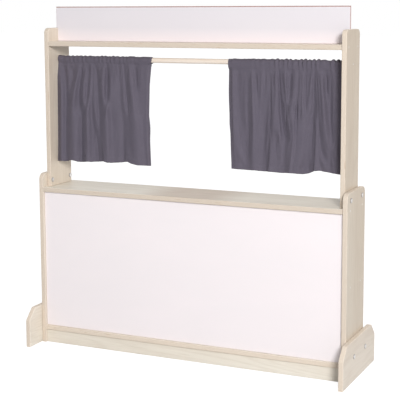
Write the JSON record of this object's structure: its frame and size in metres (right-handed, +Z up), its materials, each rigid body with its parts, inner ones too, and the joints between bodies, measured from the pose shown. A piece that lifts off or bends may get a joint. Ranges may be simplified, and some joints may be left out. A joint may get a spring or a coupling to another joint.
{
  "type": "puppet theater stand",
  "caption": "Free-standing wooden play theater: storage cabinet with a white marker panel, open stage with a sign board above, and gathered curtains on a rod.",
  "frame": {"origin": "on the floor, at the middle of the footprint", "axes": "+X to the right of someone who faces the marker panel, +Y from the front to the open back, +Z up"},
  "size_m": [1.261, 0.376, 1.285],
  "materials": {
    "birch_plywood": "clear satin lacquer",
    "marker_board": "glossy white marker face",
    "dowel": "smooth clear lacquer",
    "curtain_cloth": "plain woven cotton, grey with a violet cast",
    "plated_steel": "bright zinc plate"
  },
  "bodies": {
    "frame": {"left_side_panel": "birch_plywood", "right_side_panel": "birch_plywood", "counter": "birch_plywood", "middle_shelf": "birch_plywood", "bottom_shelf": "birch_plywood", "toe_rail": "birch_plywood", "left_foot": "birch_plywood", "right_foot": "birch_plywood", "left_upright": "birch_plywood", "right_upright": "birch_plywood", "header_shelf": "birch_plywood", "marker_panel": "marker_board", "sign_board": "marker_board", "curtain_rod": "dowel", "left_counter_front_screw": "plated_steel", "left_counter_rear_screw": "plated_steel", "left_middle_shelf_front_screw": "plated_steel", "left_middle_shelf_rear_screw": "plated_steel", "left_bottom_shelf_front_screw": "plated_steel", "left_bottom_shelf_rear_screw": "plated_steel", "left_header_front_screw": "plated_steel", "left_header_rear_screw": "plated_steel", "left_toe_rail_screw": "plated_steel", "left_rod_screw": "plated_steel", "left_upright_front_bolt": "plated_steel", "left_upright_front_nut": "plated_steel", "left_upright_rear_bolt": "plated_steel", "left_upright_rear_nut": "plated_steel", "left_foot_front_bolt": "plated_steel", "left_foot_front_nut": "plated_steel", "left_foot_rear_bolt": "plated_steel", "left_foot_rear_nut": "plated_steel", "right_counter_front_screw": "plated_steel", "right_counter_rear_screw": "plated_steel", "right_middle_shelf_front_screw": "plated_steel", "right_middle_shelf_rear_screw": "plated_steel", "right_bottom_shelf_front_screw": "plated_steel", "right_bottom_shelf_rear_screw": "plated_steel", "right_header_front_screw": "plated_steel", "right_header_rear_screw": "plated_steel", "right_toe_rail_screw": "plated_steel", "right_rod_screw": "plated_steel", "right_upright_front_bolt": "plated_steel", "right_upright_front_nut": "plated_steel", "right_upright_rear_bolt": "plated_steel", "right_upright_rear_nut": "plated_steel", "right_foot_front_bolt": "plated_steel", "right_foot_front_nut": "plated_steel", "right_foot_rear_bolt": "plated_steel", "right_foot_rear_nut": "plated_steel"},
    "left_drape": {"left_curtain": "curtain_cloth"},
    "right_drape": {"right_curtain": "curtain_cloth"}
  },
  "joints": [
    {"name": "left_curtain_slide", "type": "slide", "parent": "frame", "child": "left_drape", "axis": [1, 0, 0], "range_m": [0, 0.183]},
    {"name": "right_curtain_slide", "type": "slide", "parent": "frame", "child": "right_drape", "axis": [-1, 0, 0], "range_m": [0, 0.13]}
  ]
}
